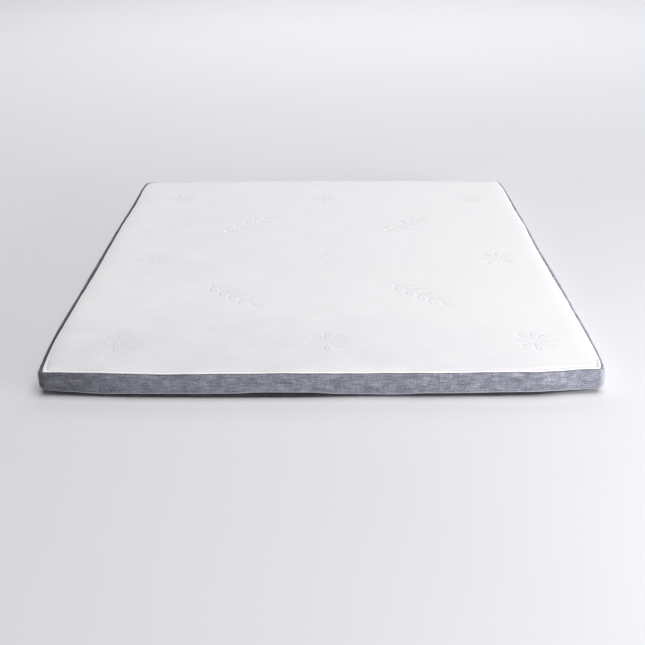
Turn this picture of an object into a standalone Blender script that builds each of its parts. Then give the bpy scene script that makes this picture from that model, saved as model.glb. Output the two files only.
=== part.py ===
# A mattress topper for a 180 x 200 cm bed: a filled pad under a white knitted panel, with a woven
# border sewn round it, a plain bottom panel, and a zip along the lower edge of the front.
#
# Metres, +Z up. The origin is on the ground under the middle, and the zip side faces -Y.
# Every piece is drawn as a section, in insets from the outer outline and heights above the ground,
# and the section is carried round the outline from station to station.

import math
from collections import namedtuple

import bmesh
import bpy
from mathutils import Vector
from mathutils.geometry import delaunay_2d_cdt

# The outer size where it is widest, and the height at the crown.
WIDTH = 1.80
LENGTH = 2.00
HEIGHT = 0.0865
HALF_WIDTH = WIDTH / 2
HALF_LENGTH = LENGTH / 2

# The long sides run in towards the back by this much for each metre, from the widest place on.
TAPER = 0.010
WIDEST_Y = -0.69

# Each corner is drawn in by its seam: the long side by side_draw, over side_reach along it, and the
# short end by end_draw, over end_reach. Its lower edge curls up off the ground by lift, and the curl
# runs out at lift_reach from the corner.
Corner = namedtuple(
    "Corner", "x_side y_side radius side_draw side_reach end_draw end_reach lift lift_reach"
)
CORNERS = (
    Corner(-1, -1, 0.028, 0.0075, 0.20, 0.019, 0.42, 0.0080, 0.13),
    Corner(+1, -1, 0.028, 0.0090, 0.12, 0.020, 0.25, 0.0065, 0.36),
    Corner(+1, +1, 0.050, 0.005, 0.15, 0.014, 0.80, 0.0040, 0.13),
    Corner(-1, +1, 0.050, 0.005, 0.15, 0.005, 0.30, 0.0040, 0.13),
)
LIFT_FADES_AT = 0.055

# At the two front corners the seam of the top runs further in, and the foot tucks in and curls up
# more. The wall of the right-hand one swells out too.
FrontCorner = namedtuple("FrontCorner", "turn_under plump")
FRONT_CORNERS = (FrontCorner(0.018, 0.0), FrontCorner(0.0085, 0.0030))  # left, right
FRONT_CORNER_REACH = 0.10
FRONT_CORNER_RISE = 0.002
CORNER_CUT = 0.0045
CORNER_CUT_FROM = 0.012
CORNER_CUT_FADES = 0.03
TURN_HEIGHT = 0.032
SQUARE_FROM = 0.022  # further in than this, inside the corners' radius, insets run to the middle

# Steps from station to station: on each corner's arc, then along the side that follows it.
ARC_STEPS = 4
SIDE_STEPS = (24, 17, 13, 17)

# The filled cloth wanders a little round the outline: waves round the whole, and how far they go.
OUTLINE_WAVES = ((11, 0.0010, 0.4), (19, 0.0006, 1.9))
SEAM_WAVES = ((13, 0.0011, 2.3), (23, 0.0008, 0.7))

# The border rolls over the top edge and dips into the seam with the top panel.
BORDER_THICK = 0.002
SEAM_INSET = 0.0112
GROOVE_FLOOR = 0.0785
GROOVE_REACH = 0.0052  # how far the groove runs out under the roll
SEAM_FOLLOWED_FROM = 0.008  # the roll's points further in than this follow the seam's waves
ROLL = (
    # inset from the outline, height
    (SEAM_INSET + 0.0002, 0.0797),
    (SEAM_INSET - 0.0006, 0.0822),
    (SEAM_INSET - 0.0030, 0.0836),
    (0.0045, 0.0830),
    (0.0014, 0.0795),
    (0.0002, 0.0735),
)
WALL_TOP = 0.0735
WALL_HEIGHTS = (0.056, 0.043, 0.030)
TUCK = 0.010
TUCK_HEIGHT = 0.030
TUCK_STEPS = 3
HEM_HEIGHT = 0.0032

# Along the front the border ends in an uneven hem above the zip.
Along = namedtuple("Along", "x value")
FRONT_HEM = (
    Along(-0.872, 0.0045),
    Along(-0.855, 0.0122),
    Along(-0.790, 0.0163),
    Along(-0.710, 0.0119),
    Along(-0.600, 0.0156),
    Along(-0.290, 0.0170),
    Along(-0.200, 0.0214),
    Along(-0.040, 0.0203),
    Along(0.060, 0.0129),
    Along(0.220, 0.0090),
    Along(0.340, 0.0153),
    Along(0.430, 0.0149),
    Along(0.600, 0.0172),
    Along(0.700, 0.0157),
    Along(0.790, 0.0110),
    Along(0.866, 0.0055),
    Along(0.872, 0.0045),
)

# How much further the foot of the front tucks in, and how much the filling lifts its top seam.
FRONT_TURN = (
    Along(-0.872, 0.0190),
    Along(-0.850, 0.0160),
    Along(-0.800, 0.0080),
    Along(-0.700, 0.0037),
    Along(-0.590, 0.0020),
    Along(-0.300, 0.0),
    Along(0.100, 0.0005),
    Along(0.337, 0.0042),
    Along(0.520, 0.0012),
    Along(0.617, 0.0038),
    Along(0.872, 0.0045),
)
FRONT_TURN_FADES = 0.05
FRONT_RISE = (
    Along(-0.850, -0.0014),
    Along(-0.690, 0.0010),
    Along(-0.500, -0.0006),
    Along(-0.410, 0.0006),
    Along(-0.220, 0.0003),
    Along(-0.130, 0.0028),
    Along(0.150, 0.0),
    Along(0.250, 0.0),
    Along(0.430, 0.0016),
    Along(0.617, 0.0030),
    Along(0.780, 0.0009),
    Along(0.860, 0.0024),
)
FRONT_RISE_FADES = 0.08
RISE_FROM = 0.070
RISE_OVER = 0.010

# The zip's tape stands behind the hem, with the coil along its middle: depth behind the foot of the
# hem, share of the hem's height, and height above that.
TAPE_THICK = 0.001
TAPE = (
    (0.0030, 1.0, 0.0050),
    (0.0034, 1.0, 0.0),
    (0.0042, 0.5, 0.0024),
    (0.0052, 0.0, 0.0040),
)
COIL = (0.0036, 0.46, 0.0010)
COIL_LEAN = 0.15
COIL_SECTION = ((0.0, 0.0021), (0.0010, 0.0016), (0.0014, 0.0), (0.0010, -0.0016), (0.0, -0.0021))

# The bottom panel lies flat, and its rim turns up to the seam.
BOTTOM_THICK = 0.0012
BOTTOM_INNER = 0.90
BOTTOM_RIM = ((0.0240, 0.0), (0.0160, 0.0), (0.0118, 0.0007), (0.0098, 0.0026))

# The pad's own wall, from its flat underside up to the groove and the panel's edge.
PAD_WALL = (
    (0.0240, 0.0020),
    (0.0175, 0.0027),
    (0.0128, 0.0080),
    (0.0085, 0.0190),
    (0.0045, 0.0270),
    (0.0026, 0.0360),
    (0.0026, 0.0660),
    (0.0038, 0.0748),
)
PANEL_GAP = 0.0005
PANEL_EDGE_HEIGHT = 0.0812
PANEL_EDGE_LEAN = 0.0002

# The panel domes up from its seam to the crown. Rings inside the outline carry the last drop.
DOME = 0.0026
PanelRing = namedtuple("PanelRing", "scale drop rise")
PANEL_RINGS = (
    PanelRing(0.980, 0.0012, 0.7),
    PanelRing(0.955, 0.0003, 0.1),
    PanelRing(0.93, 0.0, 0.0),
)
PANEL_GRID = 0.19
GRID_SHARE = 0.94  # the grid stops short of the innermost ring
WELD = 1e-7
SHARP_ANGLE = math.radians(40)

# Flowers knitted into the panel in three rows of three, and leaf sprigs in the spaces between.
RELIEF = 0.0014
LENS_RIM = ((0.35, 0.75), (0.72, 1.0), (0.93, 0.55))  # shares of its length and half width
LENS_SPINE = (0.35, 0.78)
FLOWER_COLUMNS = (-0.674, 0.016, 0.704)
FlowerRow = namedtuple("FlowerRow", "y skew")  # skew: the change of y for each metre of x
FLOWER_ROWS = (FlowerRow(-0.778, 0.0), FlowerRow(-0.050, -0.013), FlowerRow(0.704, -0.022))
KNIT_DRIFT = -0.005  # the pattern runs a little askew: x for each metre of y
FLOWER_PETALS = 8
FLOWER_LENGTH = 0.066
FLOWER_EYE = 0.009
PETAL_WIDTH = 0.0145
FLOWER_ROOM = 0.012
SPRIG_COLUMNS = (-0.320, 0.365)
SprigRow = namedtuple("SprigRow", "y turn")
SPRIG_ROWS = (SprigRow(0.350, math.radians(45)), SprigRow(-0.405, math.radians(-45)))
SPRIG_LENGTH = 0.27
LEAF_PAIRS = 4
LEAF_LENGTH = 0.052
LEAF_WIDTH = 0.018
LEAF_ANGLE = math.radians(38)
FIRST_PAIR = 0.25  # where the first pair stands, as a share of a pitch
STEM_HALF = 0.004
SPRIG_ROOM = 0.01

Station = namedtuple("Station", "x y inward_x inward_y hem seam turn_under plump rise on_front")


def ease(share):
    # From 1 at nothing down to 0 at one and beyond.
    return 0.5 + 0.5 * math.cos(math.pi * min(max(share, 0.0), 1.0))


def waves(around, table):
    return sum(size * math.sin(math.tau * count * around + start) for count, size, start in table)


def drawn_in(x, y):
    side = TAPER * max(0.0, y - WIDEST_Y)
    end = 0.0
    for corner in CORNERS:
        from_end = HALF_LENGTH - corner.y_side * y
        from_side = HALF_WIDTH - corner.x_side * x
        if corner.x_side * x > 0:
            side += corner.side_draw * ease(from_end / corner.side_reach)
        if corner.y_side * y > 0:
            end += corner.end_draw * ease(from_side / corner.end_reach)
    return Vector((x * (1 - side / HALF_WIDTH), y * (1 - end / HALF_LENGTH)))


def along(table, x):
    # Reads a table of places along the front, with an eased step between its rows.
    if x <= table[0].x:
        return table[0].value
    for left, right in zip(table, table[1:]):
        if x <= right.x:
            share = (x - left.x) / (right.x - left.x)
            return right.value + (left.value - right.value) * ease(share)
    return table[-1].value


def hem_height(x, y):
    if y > 0 or abs(x) > FRONT_HEM[-1].x:
        return HEM_HEIGHT
    return along(FRONT_HEM, x)


def from_front_corner(x, y):
    return math.hypot(abs(x) - HALF_WIDTH, y + HALF_LENGTH)


def near_front_corner(x, y):
    return ease(from_front_corner(x, y) / FRONT_CORNER_REACH)


def outline():
    # A rounded rectangle, anticlockwise from the front left corner, as (x, y, on_front).
    points = []
    for number, corner in enumerate(CORNERS):
        centre = Vector(
            (corner.x_side * (HALF_WIDTH - corner.radius), corner.y_side * (HALF_LENGTH - corner.radius))
        )
        first = math.pi + number * math.pi / 2
        for step in range(ARC_STEPS + 1):
            angle = first + math.pi / 2 * step / ARC_STEPS
            point = centre + corner.radius * Vector((math.cos(angle), math.sin(angle)))
            points.append((point.x, point.y, number == 0 and step == ARC_STEPS))
        following = CORNERS[(number + 1) % 4]
        direction = Vector((-round(math.cos(first)), -round(math.sin(first))))
        start = Vector(points[-1][:2])
        whole = WIDTH if number % 2 == 0 else LENGTH
        run = whole - corner.radius - following.radius
        for step in range(1, SIDE_STEPS[number]):
            point = start + direction * run * step / SIDE_STEPS[number]
            points.append((point.x, point.y, number == 0))
    return points


def stations():
    found = outline()
    flat = [drawn_in(x, y) for x, y, _ in found]
    count = len(flat)
    placed = []
    for i, point in enumerate(flat):
        tangent = (flat[(i + 1) % count] - flat[i - 1]).normalized()
        inward = Vector((-tangent.y, tangent.x))
        around = i / count
        point = point + inward * waves(around, OUTLINE_WAVES)
        x, y, on_front = found[i]
        # The first point of the right-hand front arc closes the front run.
        closes_front = x > 0 and y < 0 and found[i - 1][2] and not on_front
        front_corner = FRONT_CORNERS[x > 0]
        near = near_front_corner(x, y)
        behind = y + HALF_LENGTH
        cut = ease((from_front_corner(x, y) - CORNER_CUT_FROM) / CORNER_CUT_FADES)
        placed.append(
            Station(
                x=point.x,
                y=point.y,
                inward_x=inward.x,
                inward_y=inward.y,
                hem=hem_height(x, y),
                seam=waves(around, SEAM_WAVES) + CORNER_CUT * abs(inward.x) * cut,
                turn_under=max(
                    front_corner.turn_under * near,
                    along(FRONT_TURN, x) * ease(behind / FRONT_TURN_FADES),
                ),
                plump=front_corner.plump * near,
                rise=along(FRONT_RISE, x) * ease(behind / FRONT_RISE_FADES),
                on_front=on_front or closes_front,
            )
        )
    return placed


def settled(x, y, z):
    # The lower edge curls up at the corners, and the curl fades out up the wall.
    lift = 0.0
    for corner in CORNERS:
        away = math.hypot(x - corner.x_side * HALF_WIDTH, y - corner.y_side * HALF_LENGTH)
        lift += corner.lift * ease(away / corner.lift_reach)
    lift += FRONT_CORNER_RISE * near_front_corner(x, y)
    return Vector((x, y, z + lift * ease(z / LIFT_FADES_AT)))


def at(station, inset, height):
    low = min(max(1 - height / TURN_HEIGHT, 0.0), 1.0)
    inset += station.turn_under * (1 - math.sqrt(1 - low * low))
    height += station.rise * (1 - ease((height - RISE_FROM) / RISE_OVER))
    square = min(inset, SQUARE_FROM)
    shrunk = 1 - (inset - square) / HALF_WIDTH
    x = (station.x + station.inward_x * square) * shrunk
    y = (station.y + station.inward_y * square) * shrunk
    return settled(x, y, height)


def scaled(station, scale, height):
    # Well inside the outline, where the curl of the corners has run out.
    return Vector((station.x * scale, station.y * scale, height))


def tuck(height):
    # How far the wall has turned in under itself at this height.
    return TUCK * max(0.0, 1 - height / TUCK_HEIGHT) ** 2


def bridge(bm, rows, close_round):
    # Faces between rows of vertices, one row for each station.
    count = len(rows)
    for i in range(count if close_round else count - 1):
        here, there = rows[i], rows[(i + 1) % count]
        for j in range(len(here) - 1):
            bm.faces.new((here[j], there[j], there[j + 1], here[j + 1]))


def finished(name, bm, material, collection, thickness=0.0):
    mesh = bpy.data.meshes.new(name)
    bm.to_mesh(mesh)
    bm.free()
    mesh.shade_smooth()
    mesh.set_sharp_from_angle(angle=SHARP_ANGLE)
    mesh.materials.append(material)
    obj = bpy.data.objects.new(name, mesh)
    collection.objects.link(obj)
    if thickness:
        shell = obj.modifiers.new("Cloth thickness", "SOLIDIFY")
        shell.thickness = thickness
        shell.offset = -1
    return obj


def principled(name, colour, roughness):
    material = bpy.data.materials.new(name)
    material.use_nodes = True
    shader = material.node_tree.nodes["Principled BSDF"]
    shader.inputs["Base Color"].default_value = (*colour, 1)
    shader.inputs["Roughness"].default_value = roughness
    shader.inputs["Metallic"].default_value = 0.0
    return material


def crown(x, y):
    return HEIGHT - DOME * ((x / HALF_WIDTH) ** 4 + (y / HALF_LENGTH) ** 4) / 2


def lens(root, turn, length, width):
    # A petal or leaf: the points round it, then the two that ride its raised spine.
    forward = Vector((math.cos(turn), math.sin(turn)))
    across = Vector((-forward.y, forward.x)) * width / 2
    rim = [root]
    rim += [root + forward * length * reach + across * wide for reach, wide in LENS_RIM]
    rim.append(root + forward * length)
    rim += [root + forward * length * reach - across * wide for reach, wide in reversed(LENS_RIM)]
    spine = [root + forward * length * reach for reach in LENS_SPINE]
    return rim, spine


def flower_centres():
    centres = []
    for row in FLOWER_ROWS:
        for column in FLOWER_COLUMNS:
            x = column + KNIT_DRIFT * (row.y - FLOWER_ROWS[0].y)
            centres.append(Vector((x, row.y + row.skew * x)))
    return centres


def motifs():
    found = []
    for centre in flower_centres():
        for petal in range(FLOWER_PETALS):
            turn = math.tau * petal / FLOWER_PETALS
            root = centre + FLOWER_EYE * Vector((math.cos(turn), math.sin(turn)))
            found.append(lens(root, turn, FLOWER_LENGTH - FLOWER_EYE, PETAL_WIDTH))
    for x in SPRIG_COLUMNS:
        for row in SPRIG_ROWS:
            forward = Vector((math.cos(row.turn), math.sin(row.turn)))
            across = Vector((-forward.y, forward.x))
            start = Vector((x, row.y)) - forward * SPRIG_LENGTH / 2
            pitch = (SPRIG_LENGTH - LEAF_LENGTH) / LEAF_PAIRS
            for pair in range(LEAF_PAIRS):
                for side in (-1, 1):
                    root = start + forward * pitch * (pair + FIRST_PAIR) + across * side * STEM_HALF
                    found.append(lens(root, row.turn + side * LEAF_ANGLE, LEAF_LENGTH, LEAF_WIDTH))
            tip = start + forward * (SPRIG_LENGTH - LEAF_LENGTH)
            found.append(lens(tip, row.turn, LEAF_LENGTH, LEAF_WIDTH))
    return found


def clear_of_motifs(x, y):
    half = SPRIG_LENGTH / 2 + SPRIG_ROOM
    for centre in flower_centres():
        if math.hypot(x - centre.x, y - centre.y) < FLOWER_LENGTH + FLOWER_ROOM:
            return False
    for column in SPRIG_COLUMNS:
        for row in SPRIG_ROWS:
            if math.hypot(x - column, y - row.y) < half:
                return False
    return True


def top_points(around):
    # Points of the panel inside its edge, each with its height, and the edges that hold the relief.
    points = []
    edges = []
    for ring in PANEL_RINGS:
        for station in around[::2]:
            x, y = station.x * ring.scale, station.y * ring.scale
            points.append((Vector((x, y)), crown(x, y) - ring.drop + ring.rise * station.rise))
    inner = PANEL_RINGS[-1].scale * GRID_SHARE
    columns = int(HALF_WIDTH * inner / PANEL_GRID)
    rows = int(HALF_LENGTH * inner / PANEL_GRID)
    for i in range(-columns, columns + 1):
        for j in range(-rows, rows + 1):
            x, y = i * PANEL_GRID, j * PANEL_GRID
            if clear_of_motifs(x, y):
                points.append((Vector((x, y)), crown(x, y)))
    for rim, spine in motifs():
        first = len(points)
        points += [(point, crown(point.x, point.y)) for point in rim]
        points += [(point, crown(point.x, point.y) + RELIEF) for point in spine]
        count = len(rim)
        edges += [(first + i, first + (i + 1) % count) for i in range(count)]
        edges.append((first + count, first + count + 1))
    return points, edges


def fill_top(bm, edge_row, around):
    # Triangles over the whole panel, from its edge inwards, that keep the relief's own edges.
    inside, inner_edges = top_points(around)
    count = len(edge_row)
    flat = [vertex.co.xy for vertex in edge_row] + [point for point, _ in inside]
    edges = [(i, (i + 1) % count) for i in range(count)]
    edges += [(a + count, b + count) for a, b in inner_edges]
    placed, _, triangles, sources, _, _ = delaunay_2d_cdt(flat, edges, [], 1, WELD)
    vertices = []
    for position, source in zip(placed, sources):
        original = min(source) if source else None
        if original is not None and original < count:
            vertices.append(edge_row[original])
            continue
        height = inside[original - count][1] if original is not None else crown(*position)
        vertices.append(bm.verts.new((position.x, position.y, height)))
    for triangle in triangles:
        bm.faces.new([vertices[i] for i in triangle])


def make_pad(around, material, collection):
    bm = bmesh.new()
    rows = []
    for station in around:
        seam = SEAM_INSET + station.seam + PANEL_GAP
        section = [scaled(station, BOTTOM_INNER, PAD_WALL[0][1])]
        section += [at(station, inset, height) for inset, height in PAD_WALL]
        section.append(at(station, seam - GROOVE_REACH, GROOVE_FLOOR))
        section.append(at(station, seam, GROOVE_FLOOR))
        section.append(at(station, seam + PANEL_EDGE_LEAN, PANEL_EDGE_HEIGHT))
        rows.append([bm.verts.new(point) for point in section])
    bridge(bm, rows, close_round=True)
    bm.faces.new([row[0] for row in rows])
    fill_top(bm, [row[-1] for row in rows], around)
    bmesh.ops.recalc_face_normals(bm, faces=bm.faces)
    return finished("filled_top_panel", bm, material, collection)


def border_section(station):
    section = [
        at(station, inset + (station.seam if inset > SEAM_FOLLOWED_FROM else 0.0), height)
        for inset, height in ROLL
    ]
    steps = [share / TUCK_STEPS for share in range(1, TUCK_STEPS + 1)]
    lower = [TUCK_HEIGHT + (station.hem - TUCK_HEIGHT) * share for share in steps]
    for height in (*WALL_HEIGHTS, *lower):
        up = (height - station.hem) / (WALL_TOP - station.hem)
        out = station.plump * math.sin(math.pi * up)
        section.append(at(station, tuck(height) - out, height))
    return section


def make_border(around, material, collection):
    bm = bmesh.new()
    rows = [[bm.verts.new(point) for point in reversed(border_section(s))] for s in around]
    bridge(bm, rows, close_round=True)
    return finished("border", bm, material, collection, BORDER_THICK)


def make_bottom(around, material, collection):
    bm = bmesh.new()
    rows = []
    for station in around:
        section = [scaled(station, BOTTOM_INNER, 0.0)]
        section += [at(station, inset, height) for inset, height in BOTTOM_RIM]
        rows.append([bm.verts.new(point) for point in section])
    bridge(bm, rows, close_round=True)
    bm.faces.new([row[0] for row in reversed(rows)])
    return finished("bottom_panel", bm, material, collection, BOTTOM_THICK)


def zip_place(station, spot):
    # The inset and the height of a spot of the zip behind the hem.
    depth, share, above = spot
    height = share * station.hem + above
    return tuck(max(station.hem, height)) + depth, height


def make_zip_tape(front, material, collection):
    bm = bmesh.new()
    rows = []
    for station in front:
        spots = [zip_place(station, spot) for spot in reversed(TAPE)]
        rows.append([bm.verts.new(at(station, inset, height)) for inset, height in spots])
    bridge(bm, rows, close_round=False)
    return finished("zip_tape", bm, material, collection, TAPE_THICK)


def make_zip_coil(front, material, collection):
    # A half-round rib that leans back with the tape, closed round its section and capped.
    bm = bmesh.new()
    rows = []
    for station in front:
        back, middle = zip_place(station, COIL)
        section = [at(station, back - out - up * COIL_LEAN, middle + up) for out, up in COIL_SECTION]
        row = [bm.verts.new(point) for point in section]
        rows.append(row + row[:1])
    bridge(bm, rows, close_round=False)
    bm.faces.new(rows[0][:-1])
    bm.faces.new(rows[-1][:-1])
    bmesh.ops.recalc_face_normals(bm, faces=bm.faces)
    return finished("zip_coil", bm, material, collection)


def main():
    for obj in list(bpy.data.objects):
        bpy.data.objects.remove(obj, do_unlink=True)
    topper = bpy.data.collections.new("Mattress topper")
    bpy.context.scene.collection.children.link(topper)
    around = stations()
    # The zip stops short of the corners, where the hem comes down to the bottom seam.
    front = [station for station in around if station.on_front][1:-1]
    make_pad(around, principled("White knit", (0.86, 0.86, 0.87), 0.9), topper)
    make_border(around, principled("Grey melange weave", (0.25, 0.26, 0.31), 0.85), topper)
    make_bottom(around, principled("Plain bottom cloth", (0.24, 0.25, 0.29), 0.9), topper)
    make_zip_tape(front, principled("Black zip tape", (0.015, 0.015, 0.018), 0.8), topper)
    make_zip_coil(front, principled("Black zip coil", (0.012, 0.012, 0.014), 0.45), topper)


main()
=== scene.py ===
# The looks of a 180 x 200 cm mattress topper: white jacquard knit over a foam pad, a grey melange
# border rolled over the top edge, and a black coil zip under the hem of the front.
#
# Metres, +Z up, the zip side towards -Y. Each piece is a section, in insets from the outline and
# heights above the ground, carried round the outline from station to station.

import math
from types import SimpleNamespace

import bpy
from mathutils import Matrix, Vector, noise
from mathutils.geometry import delaunay_2d_cdt


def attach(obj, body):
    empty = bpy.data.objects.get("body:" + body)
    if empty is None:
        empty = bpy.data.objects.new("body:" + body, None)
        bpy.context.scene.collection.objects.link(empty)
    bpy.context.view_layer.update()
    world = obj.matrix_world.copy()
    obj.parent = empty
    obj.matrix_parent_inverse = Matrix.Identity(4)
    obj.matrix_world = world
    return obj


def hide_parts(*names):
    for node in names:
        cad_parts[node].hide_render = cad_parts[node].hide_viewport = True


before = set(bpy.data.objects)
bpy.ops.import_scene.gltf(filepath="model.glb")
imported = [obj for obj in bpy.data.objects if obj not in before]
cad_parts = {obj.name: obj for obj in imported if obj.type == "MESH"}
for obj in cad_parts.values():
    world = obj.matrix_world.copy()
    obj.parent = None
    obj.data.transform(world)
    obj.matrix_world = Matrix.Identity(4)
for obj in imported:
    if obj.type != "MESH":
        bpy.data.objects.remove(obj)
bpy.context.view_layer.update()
print("Frame loaded:", ", ".join(sorted(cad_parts)))

# The outline that every piece follows.

topper = {
    "halfWidth": 0.90,
    "halfLength": 1.00,
    "crownHeight": 0.0865,
    "crownDrop": 0.0026,  # how much lower the corners of the top are than its middle
    "taper": 0.010,  # the long sides run in towards the back by this for each metre
    "widestY": -0.69,
    "arcSteps": 4,  # the solid's own steps round a corner and along each side
    "sideSteps": [24, 17, 13, 17],  # front, right, back, left
    "arcFiner": 4,  # steps here for each one of the solid's
    "sideFiner": 10,
    "outlineWaves": [(11, 0.0010, 0.4), (19, 0.0006, 1.9)],  # how many round it, size, start
    "seamWaves": [(13, 0.0011, 2.3), (23, 0.0008, 0.7), (61, 0.00035, 1.1)],
    "hemWaver": (0.0004, 0.03),  # size and length of the small waves in the front hem
    "liftFadesAt": 0.055,
    "riseFadesAt": 0.050,  # how far in from the seam the front's rise dies away
    "riseReach": 0.08,  # and how far back along the sides
    "turnUnder": (0.018, 0.0085),  # how much further the foot of the front corners tucks in
    "turnReach": 0.10,
    "footReach": 0.05,  # how far back along the sides the front's own tucked foot dies away
    "turnHeight": 0.032,
    "cornerRise": 0.002,  # how much more their cloth curls up
    "plump": (0.0, 0.0030),  # how far their wall swells out, at the left and the right
    "cornerCut": 0.0045,  # how much further in the seam runs past them
    "cutFades": (0.012, 0.03),  # from how far off the corner that dies away, and over what
    "squareFrom": 0.022,  # further in, inside the corners' radius, insets run to the middle
}
halfWidth, halfLength = topper["halfWidth"], topper["halfLength"]

# Each corner is pulled in by its seam, and its lower edge curls up off the ground.
cornerKeys = "side end radius sideDraw sideReach endDraw endReach lift liftReach".split()
corners = [
    SimpleNamespace(**dict(zip(cornerKeys, row)))
    for row in (
        (-1, -1, 0.028, 0.0075, 0.20, 0.019, 0.42, 0.0080, 0.13),
        (+1, -1, 0.028, 0.0090, 0.12, 0.020, 0.25, 0.0065, 0.36),
        (+1, +1, 0.050, 0.005, 0.15, 0.014, 0.80, 0.0040, 0.13),
        (-1, +1, 0.050, 0.005, 0.15, 0.005, 0.30, 0.0040, 0.13),
    )
]

# The hem of the border along the front, as it rises and falls above the zip: x, height.
frontHem = [
    (-0.872, 0.0045), (-0.862, 0.0115), (-0.835, 0.0132), (-0.790, 0.0163), (-0.735, 0.0124),
    (-0.688, 0.0118), (-0.600, 0.0156), (-0.400, 0.0161), (-0.290, 0.0170), (-0.200, 0.0214),
    (-0.040, 0.0203), (0.060, 0.0129), (0.150, 0.0106), (0.220, 0.0090), (0.340, 0.0153),
    (0.430, 0.0149), (0.600, 0.0172), (0.700, 0.0157), (0.772, 0.0116), (0.803, 0.0106),
    (0.828, 0.0089), (0.866, 0.0055), (0.872, 0.0045),
]

# How much further the foot of the front tucks in below the rounded edge: x, distance.
frontTurn = [
    (-0.872, 0.0190), (-0.850, 0.0160), (-0.800, 0.0080), (-0.700, 0.0037), (-0.590, 0.0020),
    (-0.300, 0.0000), (0.100, 0.0005), (0.200, 0.0020), (0.337, 0.0042), (0.430, 0.0032),
    (0.520, 0.0012), (0.617, 0.0038), (0.710, 0.0042), (0.790, 0.0045), (0.872, 0.0045),
]

# How much the foam lifts the seam along the front: x, height.
frontRise = [
    (-0.850, -0.0014), (-0.770, -0.0010), (-0.690, 0.0010), (-0.600, 0.0000), (-0.500, -0.0006),
    (-0.410, 0.0006), (-0.220, 0.0003), (-0.130, 0.0028), (-0.030, 0.0014), (0.150, 0.0000),
    (0.250, 0.0000), (0.340, 0.0013), (0.430, 0.0016), (0.520, 0.0021), (0.617, 0.0030),
    (0.710, 0.0014), (0.780, 0.0009), (0.830, 0.0018), (0.860, 0.0024),
]

# How much further in the seam of the right side runs, and how much fuller the left side is outside
# its seam: y, distance.
rightSeam = [(-0.80, 0.0), (-0.50, 0.0032), (0.00, 0.0032), (0.40, 0.0010), (0.90, 0.0)]
leftFull = [(-0.85, 0.0), (-0.50, 0.0034), (0.00, 0.0034), (0.45, 0.0018), (0.90, 0.0)]
hemHeight = 0.0032  # at the sides and the back, where the border reaches the bottom seam


def ease(share):
    # From 1 at nothing down to 0 at one and beyond.
    return 0.5 + 0.5 * math.cos(math.pi * min(max(share, 0.0), 1.0))


def waves(around, table):
    return sum(size * math.sin(math.tau * count * around + start) for count, size, start in table)


def wander(x, y, z, size, seed=0.0):
    # Smooth noise from -1 to 1 with humps about this size, in metres.
    return noise.noise(Vector((x / size + seed, y / size - seed, z / size)))


def drawnIn(x, y):
    # Where a place of the plain rectangle comes to lie once the seams have drawn it in.
    side = topper["taper"] * max(0.0, y - topper["widestY"])
    end = 0.0
    for corner in corners:
        fromEnd = halfLength - corner.end * y
        fromSide = halfWidth - corner.side * x
        if corner.side * x > 0:
            side += corner.sideDraw * ease(fromEnd / corner.sideReach)
        if corner.end * y > 0:
            end += corner.endDraw * ease(fromSide / corner.endReach)
    return Vector((x * (1 - side / halfWidth), y * (1 - end / halfLength)))


def along(table, x):
    # Reads a table of (x, value) with an eased step between its rows.
    if x <= table[0][0]:
        return table[0][1]
    for (x0, value0), (x1, value1) in zip(table, table[1:]):
        if x <= x1:
            return value1 + (value0 - value1) * ease((x - x0) / (x1 - x0))
    return table[-1][1]


def heading(turn):
    return Vector((math.cos(turn), math.sin(turn)))


def outlinePoints():
    # A rounded rectangle, anticlockwise from the front left corner: x, y, how far round it is, and
    # whether it is on the front.
    points = []
    arcSteps = topper["arcSteps"] * topper["arcFiner"]
    whole = 4 * topper["arcSteps"] + sum(topper["sideSteps"])
    passed = 0
    for number, corner in enumerate(corners):
        acrossToCentre = corner.side * (halfWidth - corner.radius)
        centre = Vector((acrossToCentre, corner.end * (halfLength - corner.radius)))
        first = math.pi + number * math.pi / 2
        for step in range(arcSteps + 1):
            angle = first + math.pi / 2 * step / arcSteps
            point = centre + corner.radius * heading(angle)
            around = (passed + step / topper["arcFiner"]) / whole
            points.append((point.x, point.y, around, number == 0 and step == arcSteps))
        passed += topper["arcSteps"]
        direction = Vector((-round(math.cos(first)), -round(math.sin(first))))
        start = Vector(points[-1][:2])
        run = 2 * (halfWidth if number % 2 == 0 else halfLength)
        run -= corner.radius + corners[(number + 1) % 4].radius
        steps = topper["sideSteps"][number] * topper["sideFiner"]
        for step in range(1, steps):
            point = start + direction * run * step / steps
            around = (passed + step / topper["sideFiner"]) / whole
            points.append((point.x, point.y, around, number == 0))
        passed += topper["sideSteps"][number]
    return points


def fromFrontCorner(x, y):
    return math.hypot(abs(x) - halfWidth, y + halfLength)


def nearFrontCorner(x, y):
    return ease(fromFrontCorner(x, y) / topper["turnReach"])


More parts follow.
